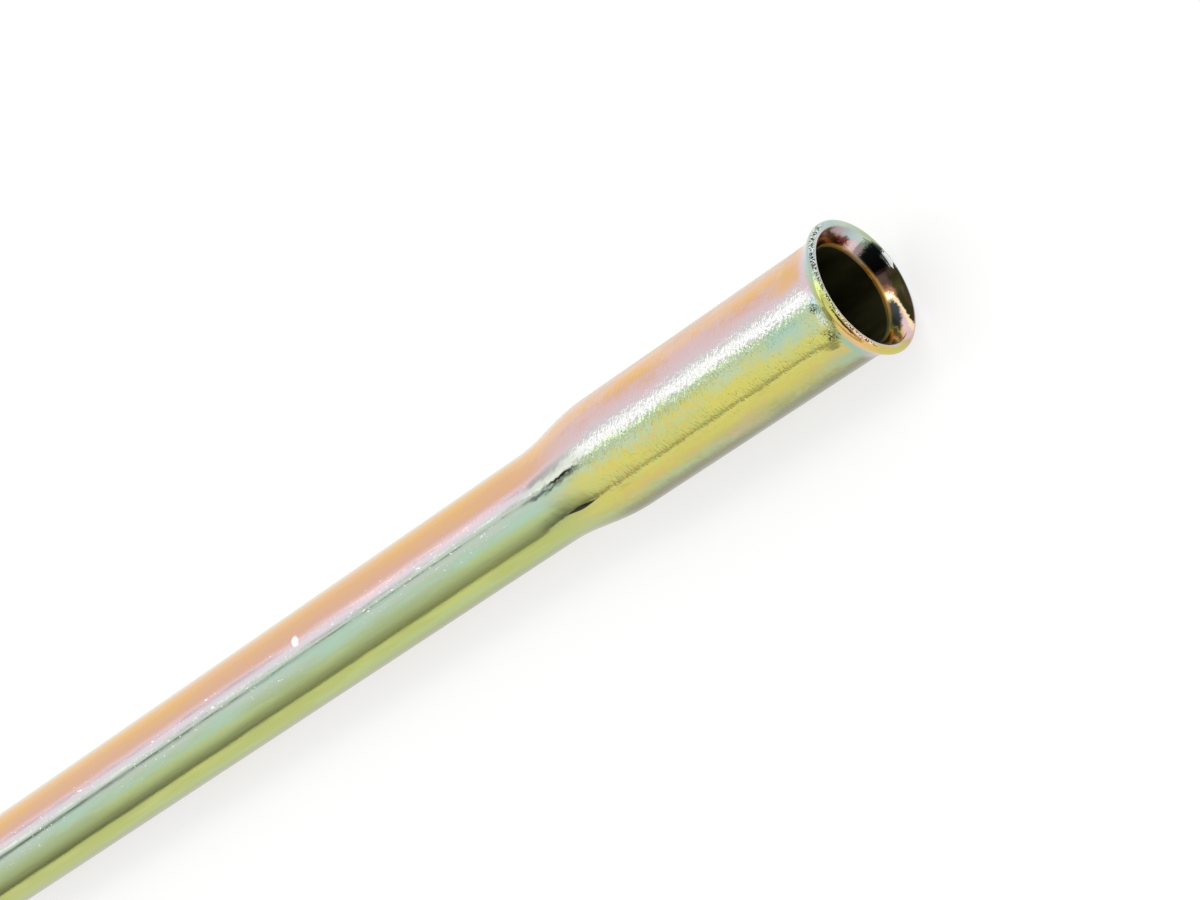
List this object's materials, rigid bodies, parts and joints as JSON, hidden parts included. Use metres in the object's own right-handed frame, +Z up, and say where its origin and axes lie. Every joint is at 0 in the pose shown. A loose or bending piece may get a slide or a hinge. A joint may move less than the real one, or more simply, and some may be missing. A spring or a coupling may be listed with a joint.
{
  "type": "dipstick tube",
  "caption": "Plated steel dipstick tube with a flared socket mouth, a plain bend, a stop bead and a nose that presses into an engine block.",
  "frame": {"origin": "middle of the bounding box, on the ground that the tube lies on", "axes": "+X along the upper leg towards the mouth, +Z up, the lower leg leans towards -Y"},
  "size_m": [0.2564, 0.0404, 0.0133],
  "materials": {
    "plated_steel": "zinc plate with an iridescent yellow passivation, semi-gloss"
  },
  "bodies": {
    "root": {"dipstick_tube": "plated_steel"}
  },
  "joints": []
}
